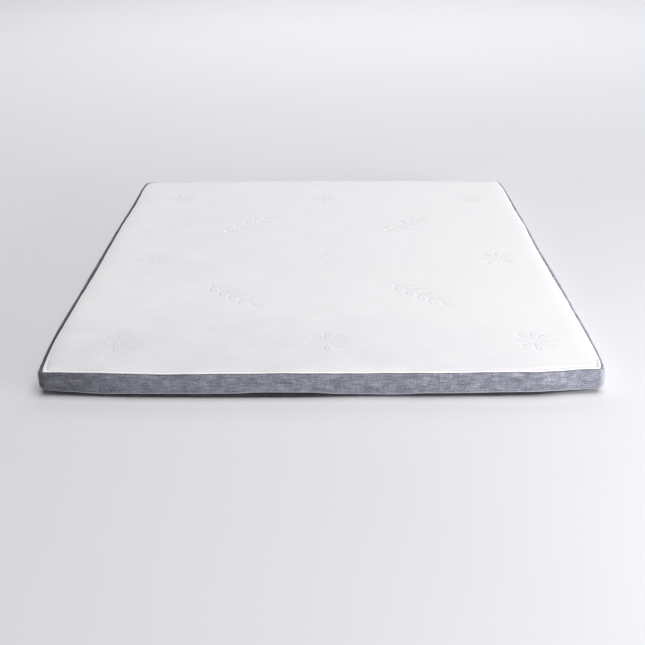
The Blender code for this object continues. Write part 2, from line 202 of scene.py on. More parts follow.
def makeStations():
    found = outlinePoints()
    flat = [drawnIn(x, y) for x, y, _, _ in found]
    count = len(flat)
    waver, waverLength = topper["hemWaver"]
    cutFrom, cutOver = topper["cutFades"]
    placed = []
    for i, point in enumerate(flat):
        tangent = (flat[(i + 1) % count] - flat[i - 1]).normalized()
        inward = Vector((-tangent.y, tangent.x))
        x, y, around, onFront = found[i]
        low = y < 0 and abs(x) <= frontHem[-1][0]
        foot = along(frontTurn, x) * ease((y + halfLength) / topper["footReach"])
        rise = along(frontRise, x) * ease((y + halfLength) / topper["riseReach"])
        cut = abs(inward.x) * ease((fromFrontCorner(x, y) - cutFrom) / cutOver)
        full = along(leftFull, y) * max(inward.x, 0.0)
        placed.append(
            SimpleNamespace(
                point=point + inward * (waves(around, topper["outlineWaves"]) - full),
                inward=inward,
                hem=along(frontHem, x) + waver * wander(x, y, 0, waverLength) if low else hemHeight,
                turnUnder=max(topper["turnUnder"][x > 0] * nearFrontCorner(x, y), foot),
                rise=rise if y < 0 else 0.0,
                seam=waves(around, topper["seamWaves"])
                + topper["cornerCut"] * cut
                + along(rightSeam, y) * max(-inward.x, 0.0)
                + full,
                plump=topper["plump"][x > 0] * nearFrontCorner(x, y),
                onFront=onFront or (x > 0 and y < 0 and found[i - 1][3]),
            )
        )
    return placed


def settled(x, y, z):
    # The lower edge curls up at the corners, and the curl fades out up the wall.
    lift = 0.0
    for corner in corners:
        away = math.hypot(x - corner.side * halfWidth, y - corner.end * halfLength)
        lift += corner.lift * ease(away / corner.liftReach)
    lift += topper["cornerRise"] * nearFrontCorner(x, y)
    return Vector((x, y, z + lift * ease(z / topper["liftFadesAt"])))


def at(station, inset, height):
    # The point this far in from the outline, and further where the foot of the front is tucked in.
    low = min(max(1 - height / topper["turnHeight"], 0.0), 1.0)
    inset += station.turnUnder * (1 - math.sqrt(1 - low * low))
    square = min(inset, topper["squareFrom"])
    point = (station.point + station.inward * square) * (1 - (inset - square) / halfWidth)
    return settled(point.x, point.y, height)


def crown(x, y):
    # The height of the top, nearly flat but for its corners.
    falls = (x / halfWidth) ** 4 + (y / halfLength) ** 4
    return topper["crownHeight"] - topper["crownDrop"] * falls / 2


def smoothThrough(points, steps):
    # A curve that passes through the points, cut in this many steps between each two.
    curve = []
    for i in range(len(points) - 1):
        before = Vector(points[max(i - 1, 0)])
        here = Vector(points[i])
        there = Vector(points[i + 1])
        after = Vector(points[min(i + 2, len(points) - 1)])
        for step in range(steps):
            t = step / steps
            a = 2 * here + (there - before) * t
            b = (2 * before - 5 * here + 4 * there - after) * t * t
            c = (3 * here - before - 3 * there + after) * t**3
            curve.append((a + b + c) / 2)
    curve.append(Vector(points[-1]))
    return curve


stations = makeStations()
frontStations = [station for station in stations if station.onFront]
print("Outline:", len(stations), "stations")


def lengthsAlong(path):
    # How far along the path each of its points is.
    passed = [0.0]
    for a, b in zip(path, path[1:]):
        passed.append(passed[-1] + (b - a).length)
    return passed


def addObject(name, data):
    thing = bpy.data.objects.new(name, data)
    bpy.context.scene.collection.objects.link(thing)
    return thing


def makePiece(name, points, faces, material, runs=None):
    mesh = bpy.data.meshes.new(name)
    mesh.from_pydata(points, [], faces)
    mesh.update()
    mesh.shade_smooth()
    mesh.materials.append(material)
    if runs:
        layer = mesh.uv_layers.new(name="clothRun")
        for loop, run in zip(layer.data, runs):
            loop.uv = run
    piece = addObject(name, mesh)
    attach(piece, "root")
    return piece


def markPoints(piece, name, values):
    # A value for each point, which the piece's material reads by its name.
    layer = piece.data.attributes.new(name, "FLOAT", "POINT")
    layer.data.foreach_set("value", values)


def addRows(points, sections):
    # Adds the points of the sections, and gives each section as a row of point numbers.
    rows = []
    for section in sections:
        rows.append(range(len(points), len(points) + len(section)))
        points += section
    return rows


def gridFaces(rows, closedRound):
    # Quads between rows of point numbers, one row a station.
    faces = []
    for i in range(len(rows) if closedRound else len(rows) - 1):
        here, there = rows[i], rows[(i + 1) % len(rows)]
        for j in range(len(here) - 1):
            faces.append((here[j], there[j], there[j + 1], here[j + 1]))
    return faces


def makeStrip(name, sections, closedRound, material):
    # A strip of cloth from its sections. Its UV map runs in metres, along the strip and down it.
    points, runs = [], []
    rows = addRows(points, sections)
    count, width = len(sections), len(sections[0])
    downs = [lengthsAlong(section) for section in sections]
    longs = lengthsAlong([section[width // 2] for section in sections + sections[:1]])
    for i in range(count if closedRound else count - 1):
        k = (i + 1) % count
        for j in range(width - 1):
            runs += [
                (longs[i], downs[i][j]),
                (longs[i + 1], downs[k][j]),
                (longs[i + 1], downs[k][j + 1]),
                (longs[i], downs[i][j + 1]),
            ]
    return makePiece(name, points, gridFaces(rows, closedRound), material, runs)


def fillInside(points, loop, inner, innerEdges, level):
    # Triangles across the loop, through the inner points, with the inner edges kept as edges. Where
    # two of these cross, a point is added at the level there.
    flat = [Vector(points[i][:2]) for i in loop] + [Vector(point[:2]) for point in inner]
    count = len(loop)
    edges = [(i, (i + 1) % count) for i in range(count)]
    edges += [(a + count, b + count) for a, b in innerEdges]
    weld = 1e-7  # points nearer than this are one
    placed, _, triangles, sources, _, _ = delaunay_2d_cdt(flat, edges, [], 1, weld)
    numbers = []
    for position, source in zip(placed, sources):
        original = min(source) if source else None
        if original is not None and original < count:
            numbers.append(loop[original])
            continue
        numbers.append(len(points))
        if original is None:
            points.append(Vector((position.x, position.y, level(*position))))
        else:
            points.append(Vector(inner[original - count]))
    return [tuple(numbers[i] for i in triangle) for triangle in triangles]


def makeTube(path, radius, sides, points, faces):
    # A round thread or loop of wire through the path, with closed ends.
    steep = 0.05  # how level the path has to be for its own sideways direction to count
    rows = []
    for i, point in enumerate(path):
        forward = (path[min(i + 1, len(path) - 1)] - path[max(i - 1, 0)]).normalized()
        across = forward.cross(Vector((0, 0, 1)))
        across = across.normalized() if across.length > steep else Vector((1, 0, 0))
        up = across.cross(forward)
        turns = [math.tau * side / sides for side in range(sides)]
        ring = [point + radius * (math.cos(turn) * across + math.sin(turn) * up) for turn in turns]
        row = list(addRows(points, [ring])[0])
        rows.append(row + row[:1])
    faces += gridFaces(rows, False)
    faces.append(tuple(rows[0][:-1]))
    faces.append(tuple(reversed(rows[-1][:-1])))


def hexColour(text):
    # An sRGB hex colour as the linear colour that Blender works in.
    channels = [int(text[i : i + 2], 16) / 255 for i in (1, 3, 5)]
    linear = [c / 12.92 if c <= 0.04045 else ((c + 0.055) / 1.055) ** 2.4 for c in channels]
    return (*linear, 1.0)


def addNode(tree, kind, values=None, links=None, **settings):
    # One node with its settings, the values of its free sockets, and what feeds the others.
    node = tree.nodes.new("ShaderNode" + kind)
    for name, value in settings.items():
        setattr(node, name, value)
    for socket, value in (values or {}).items():
        node.inputs[socket].default_value = value
    for socket, source in (links or {}).items():
        tree.links.new(source, node.inputs[socket])
    return node


def newMaterial(name, roughness, ior=1.5, sheen=0.0):
    material = bpy.data.materials.new(name)
    material.use_nodes = True
    tree = material.node_tree
    shader = tree.nodes["Principled BSDF"]
    shader.inputs["Roughness"].default_value = roughness
    shader.inputs["IOR"].default_value = ior
    shader.inputs["Metallic"].default_value = 0.0
    shader.inputs["Sheen Weight"].default_value = sheen
    return material, tree, shader


def shadeMarks(tree, colour, shades):
    # Lays each colour of painted shade and painted highlight over the colour where the piece's
    # points are marked with its name.
    for name, shade in shades.items():
        marks = addNode(tree, "Attribute", attribute_name=name).outputs["Fac"]
        feeds = {"Factor": marks, 6: colour}
        shaded = addNode(tree, "Mix", {7: hexColour(shade)}, feeds, data_type="RGBA")
        colour = shaded.outputs[2]
    return colour


mm = 1000.0  # texture space in millimetres
bandTurns = 20  # radians that a band texture's wave turns in a unit


def whiteKnitMaterial():
    # Double-jacquard knit of bleached viscose and polyester, matt and a little fuzzy. Its floats lie
    # in slanting ribs, and fainter ribs cross them, so that close up the ground breaks into dots.
    look = {
        "white": "#EDECEE",
        # The ribs' colour is painted shade of their relief; their own bump is kept faint.
        "ribPaintedShade": "#D6D5DB",
        "outlinePaintedShade": "#CDCCD3",  # painted shade in the grooves round the raised petals and leaves
        "lipPaintedHighlight": "#F7F6F5",  # painted highlight on the lip that rolls over the seam, without ribs
        "ribPitch": 8.5,  # mm across the ribs
        "ribLean": 70.0,  # degrees from the front edge
        "ribWaver": {"Distortion": 0.7, "Detail": 2.0, "Detail Scale": 1.5},
        "crossing": 0.35,  # strength of the crossing ribs beside the others
        # How strong the ribs are over a range: its two ends, and the strength at each.
        "onMotifs": (0.0, 1.0, 1.0, 0.8),
        "lengthways": (-0.90, -0.45, 1.0, 0.45),  # weaker away from the zip end
        "inPatches": (0.35, 0.65, 0.6, 1.0),
        "sideways": (-0.6, 0.75, 1.25, 0.42),  # and weaker towards the right, where more light falls, so less painted shade there
        "patches": {"Scale": 9.0, "Detail": 3.0},  # nine to the metre
        "stitch": 2.2,  # mm; a real stitch is about 1 mm and wouldn't show
        "stitchUneven": 0.35,
        "stitchBump": {"Strength": 0.25, "Distance": 0.0004},
        "ribBump": {"Strength": 0.1, "Distance": 0.0004},
    }
    material, tree, shader = newMaterial("White jacquard knit", 0.88, sheen=0.25)
    place = addNode(tree, "TexCoord").outputs["Object"]

    def ribs(lean):
        # Even bands that lean this many degrees from the front edge.
        turned = {"Rotation": (0, 0, math.radians(90 - lean)), "Scale": (mm, mm, mm)}
        spot = addNode(tree, "Mapping", turned, {"Vector": place}).outputs["Vector"]
        scale = {"Scale": math.tau / bandTurns / look["ribPitch"]}
        return addNode(tree, "TexWave", scale | look["ribWaver"], {"Vector": spot}).outputs["Fac"]

    both = {0: ribs(-look["ribLean"]), 2: ribs(look["ribLean"])}
    crossed = addNode(tree, "Math", {1: look["crossing"]}, both, operation="MULTIPLY_ADD")
    inside = addNode(tree, "Attribute", attribute_name="inside")
    split = addNode(tree, "SeparateXYZ", links={"Vector": place})
    uneven = addNode(tree, "TexNoise", look["patches"], {"Vector": place})
    shown = crossed.outputs[0]
    for name, source, easing in (
        ("onMotifs", inside.outputs["Fac"], "LINEAR"),
        ("lengthways", split.outputs["Y"], "SMOOTHSTEP"),
        ("inPatches", uneven.outputs["Fac"], "LINEAR"),
        ("sideways", split.outputs["X"], "LINEAR"),
    ):
        ends = dict(zip(("From Min", "From Max", "To Min", "To Max"), look[name]))
        strength = addNode(tree, "MapRange", ends, {"Value": source}, interpolation_type=easing)
        feeds = {0: shown, 1: strength.outputs["Result"]}
        shown = addNode(tree, "Math", links=feeds, operation="MULTIPLY").outputs[0]
    tones = {6: hexColour(look["white"]), 7: hexColour(look["ribPaintedShade"])}
    ground = addNode(tree, "Mix", tones, {"Factor": shown}, data_type="RGBA").outputs[2]
    shades = {"outline": look["outlinePaintedShade"], "edge": look["lipPaintedHighlight"]}
    tree.links.new(shadeMarks(tree, ground, shades), shader.inputs["Base Color"])
    grain = {"Scale": mm / look["stitch"], "Randomness": look["stitchUneven"]}
    stitches = addNode(tree, "TexVoronoi", grain, {"Vector": place}, voronoi_dimensions="2D")
    feeds = {"Height": stitches.outputs["Distance"]}
    stitchBump = addNode(tree, "Bump", look["stitchBump"], feeds, invert=True)
    feeds = {"Height": shown, "Normal": stitchBump.outputs["Normal"]}
    ribBump = addNode(tree, "Bump", look["ribBump"], feeds, invert=True)
    tree.links.new(ribBump.outputs["Normal"], shader.inputs["Normal"])
    return material


def melangeMaterial():
    # Upholstery weave of grey-blue melange polyester with slub yarns: matt, mottled, with long thin
    # dark threads along it and soft streaks down it.
    look = {
        "tones": [(0.36, "#393C46"), (0.64, "#AFB0BC"), (0.50, "#777986")],  # place in the mix
        "seam": "#18121B",  # painted shade in the seam's groove and at the left end
        "fold": "#BCBDC8",  # painted highlight on the hem's fold
        # Grains of the mix: mm along the cloth, mm down it, share, seed.
        "slubs": (55.0, 3.0, 0.30, 3.0),  # coarser than the 0.5 mm yarn so that they show
        "streaks": (6.0, 26.0, 0.12, 11.0),
        "patches": (38.0, 24.0, 0.23, 19.0),
        "flecks": (3.9, 3.0, 0.35, 29.0),  # of the single yarns, drawn coarser to show
        "grain": {"Scale": 1.0, "Detail": 2.0, "Roughness": 0.6},
        "thread": 1.6,  # mm; the real 0.5 mm weave wouldn't show
        "weaveBump": {"Strength": 0.25, "Distance": 0.0003},
        "slubBump": {"Strength": 0.5, "Distance": 0.0006},
    }
    material, tree, shader = newMaterial("Grey melange weave", 0.82, sheen=0.15)
    run = addNode(tree, "UVMap", uv_map="clothRun").outputs["UV"]
    grains = {}
    mixed = None
    for name in ("slubs", "streaks", "patches", "flecks"):
        width, height, share, seed = look[name]
        stretch = {"Scale": (mm / width, mm / height, 1.0), "Location": (seed, seed, seed)}
        spot = addNode(tree, "Mapping", stretch, {"Vector": run}).outputs["Vector"]
        grains[name] = addNode(tree, "TexNoise", look["grain"], {"Vector": spot}).outputs["Fac"]
        feeds = {0: grains[name]} if mixed is None else {0: grains[name], 2: mixed}
        part = addNode(tree, "Math", {1: share, 2: 0.0}, feeds, operation="MULTIPLY_ADD")
        mixed = part.outputs[0]
    tones = addNode(tree, "ValToRGB", links={"Fac": mixed})
    steps = tones.color_ramp.elements
    for i, (position, colour) in enumerate(look["tones"]):
        step = steps[i] if i < len(steps) else steps.new(position)
        step.position = position
        step.color = hexColour(colour)
    shades = {"paintedShade": look["seam"], "hemFold": look["fold"]}
    colour = shadeMarks(tree, tones.outputs["Color"], shades)
    tree.links.new(colour, shader.inputs["Base Color"])
    fine = mm / look["thread"]
    weave = addNode(tree, "Mapping", {"Scale": (fine, fine, 1.0)}, {"Vector": run})
    checks = addNode(tree, "TexChecker", {"Scale": 1.0}, {"Vector": weave.outputs["Vector"]})
    weaveBump = addNode(tree, "Bump", look["weaveBump"], {"Height": checks.outputs["Fac"]})
    feeds = {"Height": grains["slubs"], "Normal": weaveBump.outputs["Normal"]}
    slubBump = addNode(tree, "Bump", look["slubBump"], feeds)
    tree.links.new(slubBump.outputs["Normal"], shader.inputs["Normal"])
    return material


def plainWeaveMaterial(name, colour, shade, thread, roughness):
    # Matt woven cloth with a fine even grain and faint clouds. Its threads, in millimetres, are
    # drawn several times coarser than the real ones to show.
    look = {"clouds": {"Scale": 0.12, "Detail": 4.0}, "bump": {"Strength": 0.4, "Distance": 0.0004}}
    material, tree, shader = newMaterial(name, roughness)
    place = addNode(tree, "TexCoord").outputs["Object"]
    fine = mm / thread
    scaled = addNode(tree, "Mapping", {"Scale": (fine, fine, fine)}, {"Vector": place})
    spot = scaled.outputs["Vector"]
    checks = addNode(tree, "TexChecker", {"Scale": 1.0}, {"Vector": spot}).outputs["Fac"]
    clouds = addNode(tree, "TexNoise", look["clouds"], {"Vector": spot}).outputs["Fac"]
    weight = addNode(tree, "Math", links={0: checks, 1: clouds}, operation="MULTIPLY")
    tones = {6: hexColour(colour), 7: hexColour(shade)}
    mixed = addNode(tree, "Mix", tones, {"Factor": weight.outputs[0]}, data_type="RGBA")
    tree.links.new(mixed.outputs[2], shader.inputs["Base Color"])
    bump = addNode(tree, "Bump", look["bump"], {"Height": checks})
    tree.links.new(bump.outputs["Normal"], shader.inputs["Normal"])
    return material


def nylonMaterial(name, colour, rubbedAndGlint, roughness):
    # Drawn nylon, dyed through: satin as a single wire, duller as a twisted sewing thread, with
    # small paler places: rubbed places on the thread, and on the zip's coil painted glints that help
    # its turns show.
    material, tree, shader = newMaterial(name, roughness, ior=1.53)
    place = addNode(tree, "TexCoord").outputs["Object"]
    paleSpots = addNode(tree, "TexNoise", {"Scale": 60.0, "Detail": 3.0}, {"Vector": place})
    tones = {6: hexColour(colour), 7: hexColour(rubbedAndGlint)}
    mixed = addNode(tree, "Mix", tones, {"Factor": paleSpots.outputs["Fac"]}, data_type="RGBA")
    tree.links.new(mixed.outputs[2], shader.inputs["Base Color"])
    return material


whiteKnit = whiteKnitMaterial()
melange = melangeMaterial()
bottomCloth = plainWeaveMaterial(
    "Grey plain-woven polyester", "#565963", "#6A6D79", thread=2.5, roughness=0.85
)
zipCloth = plainWeaveMaterial(
    "Black zip tape twill", "#0C0C0E", "#17171A", thread=1.6, roughness=0.80
)
# Its paler places are painted glints, which let the coil's turns show against the tape.
zipNylon = nylonMaterial("Black nylon monofilament", "#2C2E34", "#8A8D96", roughness=0.26)
threadGrey = nylonMaterial("Grey sewing thread", "#9496A2", "#B0B1BC", roughness=0.6)
print("Materials made:", len(bpy.data.materials))

# The filled pad under its white knitted panel.

padShape = {
    "seamInset": 0.0112,
    "gap": 0.0005,  # between the border's edge and the panel's
    "grooveFloor": 0.0785,
    "groove": (0.0052, 0.0002),  # how far outside the panel's edge its floor starts and ends
    "wall": [  # inset, height: the hidden wall of the pad, from its underside up
        (0.0240, 0.0020), (0.0175, 0.0027), (0.0128, 0.0080), (0.0085, 0.0190), (0.0045, 0.0270),
        (0.0026, 0.0360), (0.0026, 0.0660), (0.0038, 0.0748),
    ],
    "lip": [  # distance in from the panel's edge, drop below the crown there, and on the front
        (0.0000, 0.0058, 0.0058), (0.0004, 0.0046, 0.0044), (0.0011, 0.0037, 0.0030),
        (0.0022, 0.0031, 0.0021), (0.0040, 0.0026, 0.0015), (0.0060, 0.0023, 0.0015),
        (0.0080, 0.0021, 0.0020), (0.0095, 0.0019, 0.0027), (0.0108, 0.0018, 0.0031),
        (0.0121, 0.0016, 0.0029), (0.0138, 0.0014, 0.0022), (0.0165, 0.0012, 0.0014),
        (0.0210, 0.0009, 0.0009), (0.0280, 0.0006, 0.0006), (0.0370, 0.0003, 0.0003),
        (0.0480, 0.0001, 0.0001),
    ],
    "lipWaver": (0.35, 0.06),  # how much the lip's drop changes, and over what length
    "beadFades": (0.12, 0.2),  # how far up the sides the bead dies away, the share that is whole
    "dipPaintedShade": (0.010, 0.013, 0.35),  # a painted shade line in the dip behind the bead: from, to, how dark
    "lipHighlightBand": (0.0015, 0.003, 0.0025),  # width of the lip's painted highlight, how much more at the bead, and its fade
    "squareFrom": 0.0050,
    "grid": 0.013,
    "rimRoom": 0.006,  # clear of points beside the rim
    "motifRoom": 0.004,  # and beside a petal or leaf
    "cell": 0.04,  # size of the squares in which near petals and leaves are looked up
    "softness": 0.0005,  # how far the foam lets the top rise and fall
    "swells": [(1.0, 0.3, 0.21), (0.5, 2.7, 0.09)],  # share, level, size of each swell
}
flowerShape = {
    "columns": [-0.674, 0.016, 0.704],
    "rows": [(-0.778, 0.0), (-0.050, -0.013), (0.704, -0.022)],  # y, and its change a metre of x
    "drift": -0.005,  # the knit runs a little askew: x for each metre of y
    "petals": 8,
    "reach": 0.066,
    "eye": 0.009,
    "petalWidth": 0.0145,
    "puff": 0.00025,
    "groove": 0.0002,
}
sprigShape = {
    "columns": [-0.320, 0.365],
    "rows": [(0.350, 45.0), (-0.405, -45.0)],  # y, turn in degrees
    "length": 0.27,
    "leafPairs": 4,
    "firstPair": 0.25,  # where the first pair stands, in pitches of the pairs
    "leafLength": 0.052,
    "leafWidth": 0.018,
    "leafTurn": 38.0,
    "stemWidth": 0.006,
    "stemHalf": 0.0075,  # how far off the middle of the stem the leaves start
    "tipGap": 0.004,
    "puff": 0.00025,
    "groove": 0.0002,
}
motifShape = {
    "line": 0.0016,  # half the width of the painted shade line round a petal or leaf
    "steps": 11,  # points along each side
    "slimmest": 0.0004,
    "belly": 1.5,  # above one, the widest place lies nearer the tip
    "blunt": 0.72,  # below one, the ends are rounder
    "darkness": (0.75, 0.8, 0.03),  # of the painted shade line: its mean, how much it changes, over what length
}


def topHeight(x, y):
    soft = sum(share * wander(x, y, level, size) for share, level, size in padShape["swells"])
    return crown(x, y) + padShape["softness"] * soft


def leafOutline(root, turn, length, width, spread):
    # One ring of a petal or leaf: its outline, moved outwards by the spread.
    shape = motifShape
    forward = heading(turn)
    across = Vector((-forward.y, forward.x))
    ring = []
    for side in (1, -1):
        for step in range(shape["steps"]):
            t = step / shape["steps"] if side > 0 else 1 - step / shape["steps"]
            t = 0.5 - 0.5 * math.cos(math.pi * t)
            half = max(width / 2 + spread, shape["slimmest"])
            half *= math.sin(math.pi * t ** shape["belly"]) ** shape["blunt"]
            ring.append(root + forward * ((length + 2 * spread) * t - spread) + across * side * half)
    return ring


def addMotif(inner, edges, marks, root, turn, length, width, look):
    # A puffed petal or leaf inside a fine groove, as rings of points that rise to its spine: how far
    # out, height, whether it is inside, and how much of the painted shade line it takes.
    mean, change, over = motifShape["darkness"]
    shade = mean + change * wander(root.x, root.y, turn / 3, over)
    rings = (
        (motifShape["line"], 0.0, 0.0, 0.0),
        (0.0, -look["groove"], 0.5, 0.6 * shade),
        (-motifShape["line"], look["puff"] * 0.5, 1.0, 0.4 * shade),
        (-0.36 * width, look["puff"], 1.0, 0.25 * shade),
    )
    for spread, height, inside, line in rings:
        ring = leafOutline(root, turn, length, width, spread)
        first = len(inner)
        for point in ring:
            inner.append(Vector((point.x, point.y, topHeight(point.x, point.y) + height)))
            marks.append((inside, line, 0.0))
        edges += [(first + i, first + (i + 1) % len(ring)) for i in range(len(ring))]


def motifs():
    # Every petal, leaf and stem of the knitted pattern: root, turn, length, width and relief.
    found = []
    flower, sprig = flowerShape, sprigShape
    for row, skew in flower["rows"]:
        for column in flower["columns"]:
            x = column + flower["drift"] * (row - flower["rows"][0][0])
            centre = Vector((x, row + skew * x))
            for petal in range(flower["petals"]):
                turn = math.tau * petal / flower["petals"]
                root = centre + flower["eye"] * heading(turn)
                length = flower["reach"] - flower["eye"]
                found.append((root, turn, length, flower["petalWidth"], flower))
    for column in sprig["columns"]:
        for row, degrees in sprig["rows"]:
            turn = math.radians(degrees)
            forward = heading(turn)
            across = Vector((-forward.y, forward.x))
            stem = sprig["length"] - sprig["leafLength"]
            start = Vector((column, row)) - forward * sprig["length"] / 2
            pitch = stem / sprig["leafPairs"]
            for pair in range(sprig["leafPairs"]):
                for side in (-1, 1):
                    root = start + forward * pitch * (pair + sprig["firstPair"])
                    root += across * side * sprig["stemHalf"]
                    leafTurn = turn + side * math.radians(sprig["leafTurn"])
                    found.append((root, leafTurn, sprig["leafLength"], sprig["leafWidth"], sprig))
            tip = start + forward * (stem + sprig["tipGap"])
            found.append((tip, turn, sprig["leafLength"], sprig["leafWidth"], sprig))
            found.append((start, turn, stem, sprig["stemWidth"], sprig))
    return found


def rimSection(station, bead):
    # From the underside of the pad up its wall, through the groove of the seam and over the lip.
    shape = padShape
    seam = shape["seamInset"] + station.seam + shape["gap"]
    uneven, unevenLength = shape["lipWaver"]
    section = [at(station, inset, height) for inset, height in shape["wall"]]
    section += [at(station, seam - away, shape["grooveFloor"]) for away in shape["groove"]]
    for away, plain, beaded in shape["lip"]:
        drop = plain + (beaded - plain) * bead
        # Past the corners' own radius the rings shrink towards the middle instead.
        place = station.point + station.inward * (seam + min(away, shape["squareFrom"]))
        place *= 1 - max(away - shape["squareFrom"], 0.0) / halfWidth
        if away > 0:
            drop *= 1 + uneven * wander(place.x, place.y, 0.0, unevenLength)
        drop -= station.rise * ease(away / topper["riseFadesAt"])
        level = crown(place.x, place.y)
        soft = (topHeight(place.x, place.y) - level) * away / shape["lip"][-1][0]
        section.append(Vector((place.x, place.y, level + soft - drop)))
    return section


def cellOf(spot):
    return round(spot.x / padShape["cell"]), round(spot.y / padShape["cell"])


def distanceTo(spot, start, end):
    line = end - start
    share = min(max((spot - start).dot(line) / line.length_squared, 0.0), 1.0)
    return (spot - start - line * share).length


def insideRing(spot, margin):
    # Whether a spot of the top lies inside the last ring of the panel's rim.
    edge = drawnIn(math.copysign(halfWidth, spot.x), spot.y)
    end = drawnIn(spot.x, math.copysign(halfLength, spot.y))
    return abs(spot.x) < abs(edge.x) - margin and abs(spot.y) < abs(end.y) - margin


def freeSpots(taken):
    # The spots of an even grid over the top that lie clear of the rim, petals, leaves and stems.
    margin = padShape["seamInset"] + padShape["lip"][-1][0] + padShape["rimRoom"]
    step = padShape["grid"]
    columns = int((halfWidth - margin) / step)
    lines = int((halfLength - margin) / step)
    lookups = 12
    busy = {}
    for start, end, reach in taken:
        for i in range(lookups + 1):
            busy.setdefault(cellOf(start.lerp(end, i / lookups)), []).append((start, end, reach))
    free = []
    for i in range(-columns, columns + 1):
        for j in range(-lines, lines + 1):
            # Every other line is shifted half a step, so that the triangles come out even.
            spot = Vector((i * step + (step / 4 if j % 2 else -step / 4), j * step))
            if not insideRing(spot, margin):
                continue
            cell = cellOf(spot)
            near = []
            for a in (-1, 0, 1):
                for b in (-1, 0, 1):
                    near += busy.get((cell[0] + a, cell[1] + b), [])
            if not any(distanceTo(spot, start, end) < reach for start, end, reach in near):
                free.append(spot)
    return free


def spotKey(point):
    # A place of the top to the thousandth of a millimetre.
    return round(point.x, 6), round(point.y, 6)


def makePanel():
    shape = padShape
    points = []
    reach, whole = shape["beadFades"]
    beads = [ease((station.point.y + halfLength) / reach - whole) for station in stations]
    rows = addRows(points, [rimSection(*pair) for pair in zip(stations, beads)])
    faces = gridFaces(rows, True)
    inner, innerEdges, innerMarks, taken = [], [], [], []
    for root, turn, length, width, look in motifs():
        addMotif(inner, innerEdges, innerMarks, root, turn, length, width, look)
        taken.append((root, root + heading(turn) * length, width / 2 + shape["motifRoom"]))
    plainMark = (0.0, 0.0, 0.0)
    for spot in freeSpots(taken):
        inner.append(Vector((spot.x, spot.y, topHeight(spot.x, spot.y))))
        innerMarks.append(plainMark)
    loop = [row[-1] for row in rows]
    before = len(points)
    faces += fillInside(points, loop, inner, innerEdges, topHeight)
    faces.append(tuple(reversed([row[0] for row in rows])))
    print("Panel points:", before, "+", len(points) - before)
    lineFrom, lineTo, dark = shape["dipPaintedShade"]
    edge, more, fade = shape["lipHighlightBand"]
    marks = []
    for bead in beads:
        marks += [(0.0, 0.0, 1.0)] * (len(shape["wall"]) + len(shape["groove"]))
        for away, _, _ in shape["lip"]:
            line = dark * bead if lineFrom < away < lineTo else 0.0
            marks.append((0.0, line, ease((away - edge - more * bead) / fade)))
    byPlace = {spotKey(point): mark for point, mark in zip(inner, innerMarks)}
    marks += [byPlace.get(spotKey(point), plainMark) for point in points[before:]]
    return points, faces, marks


panelPoints, panelFaces, panelMarks = makePanel()
panel = makePiece("white_knit_panel", panelPoints, panelFaces, whiteKnit)
# Marks: where the ribs go quiet inside the motifs, the painted shade line round them, and the
# painted highlight on the lip.
for name, values in zip(("inside", "outline", "edge"), zip(*panelMarks)):
    markPoints(panel, name, values)
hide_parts("filled_top_panel")
print("White panel:", len(panel.data.polygons), "faces")

# The melange border, sewn to the panel all round.

borderShape = {
    "roll": [  # inset, height, from the seam out over the top edge
        (0.0114, 0.0790), (0.0108, 0.0806), (0.0094, 0.0818), (0.0068, 0.0820), (0.0030, 0.0804),
        (0.0006, 0.0762), (0.0000, 0.0700),
    ],
    "rightRoll": [  # the same at the right side, where it lies flatter beside the panel
        (0.0114, 0.0799), (0.0110, 0.0808), (0.0102, 0.0813), (0.0080, 0.0808), (0.0046, 0.0789),
        (0.0014, 0.0750), (0.0000, 0.0700),
    ],
    "backRoll": [  # and at the back, where the panel's own edge stands above it
        (0.0114, 0.0788), (0.0110, 0.0792), (0.0102, 0.0795), (0.0080, 0.0796), (0.0046, 0.0780),
        (0.0014, 0.0745), (0.0000, 0.0700),
    ],
    "rollSteps": 4,
    "riseFades": 0.010,  # how far above the wall the roll takes up the front's rise
    "seamBlend": (0.007, 0.002),  # from this inset in, over this, the roll follows the seam
    "puffBlend": (0.0050, 0.004),  # and from here in, over this, its puckers die away
    # How dark the painted shade of the seam's groove is, and how far it reaches from the seam: on
    # the left and the right side, and at the left and the right of the front. It is darkest on the
    # left, away from the light.
    "paintedShade": [(0.97, 0.0085), (0.04, 0.0036), (0.80, 0.0120), (0.06, 0.0100)],
    "paintedShadeTurn": (0.05, 0.4),  # how far up the sides the front's dies away, the share left whole
    "leftEndPaintedShade": 0.45,  # painted shade, darker towards the left end, where less light falls
    "endReach": 0.40,
    "wallSteps": 26,
    "tuck": 0.010,  # how far the wall turns in under itself
    "tuckHeight": 0.030,
    "hemFold": [(0.0005, -0.0007), (0.0014, -0.0009), (0.0021, -0.0003), (0.0023, 0.0010)],
    "foldMarks": (0.35, 0.8),  # how strong the painted highlight is just above the hem's fold, and on it
    "hemTurn": [0.005, 0.010, 0.014],  # heights of the turned-up layer above the hem
    "puffTop": 0.0735,  # where the wall's own swelling ends
    "bulge": 0.0012,
    "bulgeWaver": (0.8, 0.6, 0.16),  # its mean share, how much that changes, over what length
    # Puckers and crumples: size, length, how squat they are, share of the size at the hem, how
    # soon they are whole above it, seed.
    "puckers": [(0.0009, 0.034, 0.35, 0.25, 3, 2.0), (0.0004, 0.013, 1.0, 1.0, 4, 8.0)],
}
